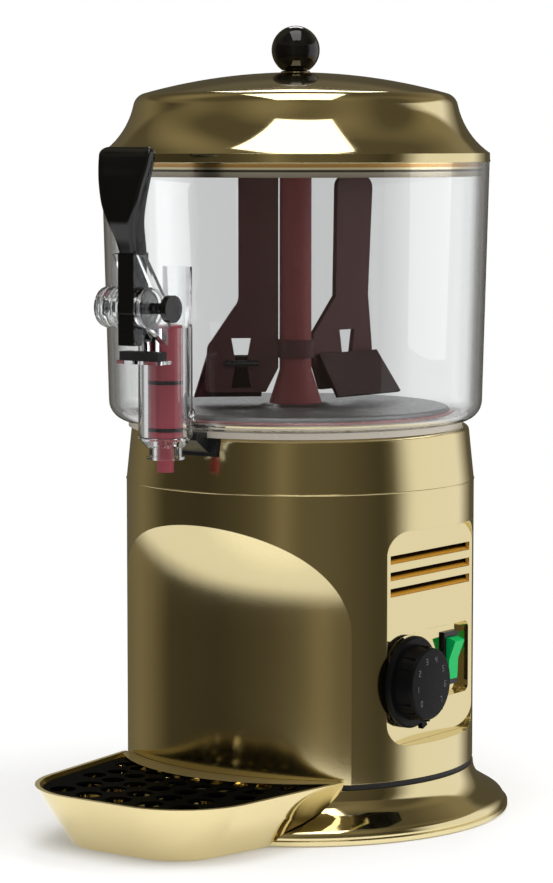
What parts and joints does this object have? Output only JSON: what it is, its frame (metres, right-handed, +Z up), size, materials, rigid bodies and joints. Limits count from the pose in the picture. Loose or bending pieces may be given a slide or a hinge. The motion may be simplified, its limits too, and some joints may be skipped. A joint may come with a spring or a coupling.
{
  "type": "hot chocolate dispenser",
  "caption": "Gold hot chocolate dispenser with a clear bowl, a turning paddle, a lever tap, a dial, a rocker switch and a drip tray with a grille",
  "frame": {"origin": "axis of the round body on the surface that the machine stands on", "axes": "+Z up, -Y the front with the tap, +X the side with the controls"},
  "size_m": [0.253, 0.3225, 0.4706],
  "materials": {
    "gold": "polished",
    "black_gloss": "glossy",
    "black_satin": "satin",
    "dial_black": "matte",
    "seal_rubber": "matte",
    "foot_rubber": "matte",
    "gasket_red": "satin",
    "clear_bowl": "clear",
    "clear_tap": "clear",
    "piston_red": "satin",
    "column_red": "satin",
    "paddle_brown": "satin",
    "scraper_brown": "satin",
    "plate_steel": "satin",
    "steel": "satin",
    "motor_grey": "satin",
    "bush_plastic": "matte",
    "contact_brass": "satin",
    "rocker_green": "glossy"
  },
  "bodies": {
    "base": {"body_shell": "gold", "base_flange": "gold", "base_seal": "seal_rubber", "foot_ring": "foot_rubber", "bottom_plate": "steel", "housing_screws": "steel", "cable_gland": "black_satin", "top_ring": "gold", "tap_seat": "black_satin", "boiler_tank": "plate_steel", "boiler_base": "steel", "heating_ring": "steel", "shaft_bush": "bush_plastic", "gear_motor": "motor_grey", "motor_bracket": "steel", "central_column": "column_red", "control_panel": "gold", "thermostat_body": "bush_plastic", "switch_frame": "black_satin", "switch_contacts": "contact_brass"},
    "mixer": {"drive_shaft": "steel", "mixing_paddle": "paddle_brown", "scrapers": "scraper_brown", "scraper_pins": "black_satin"},
    "bowl": {"bowl": "clear_bowl", "bowl_gasket": "gasket_red", "tap_body": "clear_tap", "tap_pin": "black_gloss", "tap_buffer": "seal_rubber"},
    "lid": {"lid_shell": "gold", "lid_neck": "gold", "lid_knob": "black_gloss"},
    "lever": {"tap_lever": "black_gloss", "tap_grip": "black_gloss"},
    "piston": {"tap_piston": "piston_red", "piston_rings": "seal_rubber"},
    "dial": {"thermostat_dial": "dial_black", "dial_spindle": "steel"},
    "rocker": {"switch_rocker": "rocker_green"},
    "tray": {"drip_tray": "gold"},
    "grille": {"drip_grille": "black_gloss"}
  },
  "joints": [
    {"name": "bowl_lift", "type": "slide", "parent": "base", "child": "bowl", "axis": [0, 0, 1], "range_m": [0, 0.15]},
    {"name": "lid_lift", "type": "slide", "parent": "bowl", "child": "lid", "axis": [0, 0, 1], "range_m": [0, 0.12]},
    {"name": "tap_lever_tilt", "type": "hinge", "parent": "bowl", "child": "lever", "pos_m": [0, -0.1584, 0.309], "axis": [1, 0, 0], "range_deg": [0, 22], "stiffness_Nm_per_rad": 0.6, "springref_deg": -11.46},
    {"name": "piston_lift", "type": "slide", "parent": "bowl", "child": "piston", "axis": [0, 0, 1], "range_m": [0, 0.0112]},
    {"name": "paddle_turn", "type": "hinge", "parent": "base", "child": "mixer", "pos_m": [0, -0.005, 0.25], "axis": [0, 0, 1], "continuous": true},
    {"name": "dial_turn", "type": "hinge", "parent": "base", "child": "dial", "pos_m": [0.1, -0.0245, 0.0875], "axis": [1, 0, 0], "range_deg": [0, 270]},
    {"name": "switch_rock", "type": "hinge", "parent": "base", "child": "rocker", "pos_m": [0.091, 0.0275, 0.0942], "axis": [0, 1, 0], "range_deg": [-24, 0]},
    {"name": "tray_pull", "type": "slide", "parent": "base", "child": "tray", "axis": [0, -1, 0], "range_m": [0, 0.1]},
    {"name": "grille_lift", "type": "slide", "parent": "tray", "child": "grille", "axis": [0, 0, 1], "range_m": [0, 0.05]}
  ],
  "couplings": [
    {"joint": "piston_lift", "follows": "tap_lever_tilt", "m_per_rad": 0.0288}
  ]
}
